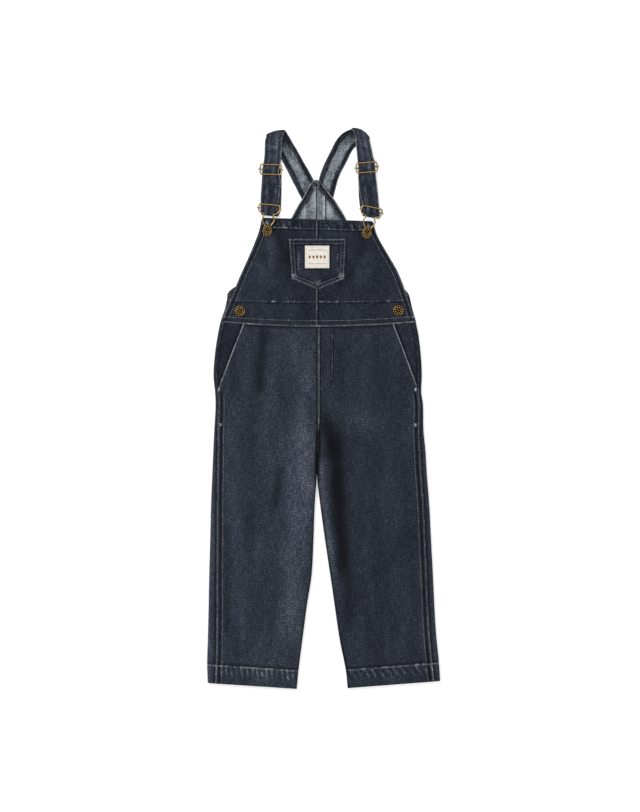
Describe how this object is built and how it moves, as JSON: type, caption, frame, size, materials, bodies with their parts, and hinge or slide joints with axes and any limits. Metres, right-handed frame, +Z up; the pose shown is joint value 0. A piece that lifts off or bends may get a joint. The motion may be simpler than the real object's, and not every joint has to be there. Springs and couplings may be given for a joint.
{
  "type": "kids dungarees",
  "caption": "Children's denim dungarees laid flat: bib with pointed pocket and buttoned sides, slanted hip pockets, straight hemmed legs, and straps with sliders and wire clasps.",
  "frame": {"origin": "middle of the garment's footprint, on the surface that it lies on", "axes": "+Z up from the surface through the front of the garment, +Y towards the shoulders, +X towards the wearer's left leg"},
  "size_m": [0.3376, 0.8133, 0.009],
  "materials": {
    "denim": "washed blue-black denim, right side, faded along its edges and seams",
    "denim_inside": "wrong side of the same denim, pale grey",
    "brass": "antique brass wire and buttons, rubbed bright on high spots",
    "label": "cream woven label"
  },
  "bodies": {
    "root": {"front_leg_left": "denim", "back_leg_left": "denim", "hip_panel_left": "denim", "front_leg_right": "denim", "back_leg_right": "denim", "hip_panel_right": "denim", "back_upper_left": "denim_inside", "back_edge_band_left": "denim", "back_upper_right": "denim_inside", "back_edge_band_right": "denim", "bib_left": "denim", "bib_right": "denim", "bib_pocket": "denim", "label": "label", "fly": "denim", "strap_left": "denim", "strap_right": "denim", "slider_left": "brass", "clasp_left": "brass", "bib_button_left": "brass", "side_button_left": "brass", "slider_right": "brass", "clasp_right": "brass", "bib_button_right": "brass", "side_button_right": "brass"}
  },
  "joints": []
}
